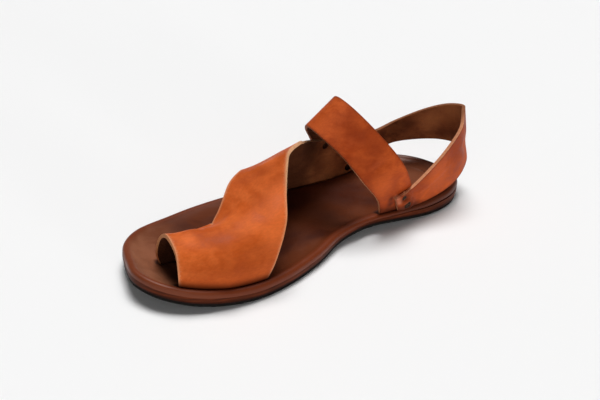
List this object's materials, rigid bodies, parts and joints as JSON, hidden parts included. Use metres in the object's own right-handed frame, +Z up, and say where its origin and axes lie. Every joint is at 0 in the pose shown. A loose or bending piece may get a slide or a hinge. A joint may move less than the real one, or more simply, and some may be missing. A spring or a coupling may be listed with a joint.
{
  "type": "sandal",
  "caption": "Flat leather sandal, right shoe, with a toe loop, a broad diagonal vamp, an instep strap and a riveted heel strap on a moulded leather footbed",
  "frame": {"origin": "on the floor, under the middle of the heel, at the mount heel_rest", "axes": "+X to the outer side of the foot, +Y to the toe, +Z up"},
  "size_m": [0.0972, 0.269, 0.0832],
  "materials": {
    "outsole": "matt black rubber",
    "midsole": "dark brown burnished edge",
    "insole": "dark brown, smooth, slightly glossy",
    "upper": "orange tan, semi-matt, faintly mottled",
    "rivets": "dark antique"
  },
  "bodies": {
    "root": {"outsole": "outsole", "midsole": "midsole", "insole": "insole", "upper": "upper", "heel_strap_rivet_upper": "rivets", "heel_strap_rivet_lower": "rivets", "quarter_rivet_upper": "rivets", "quarter_rivet_lower": "rivets"}
  },
  "joints": []
}
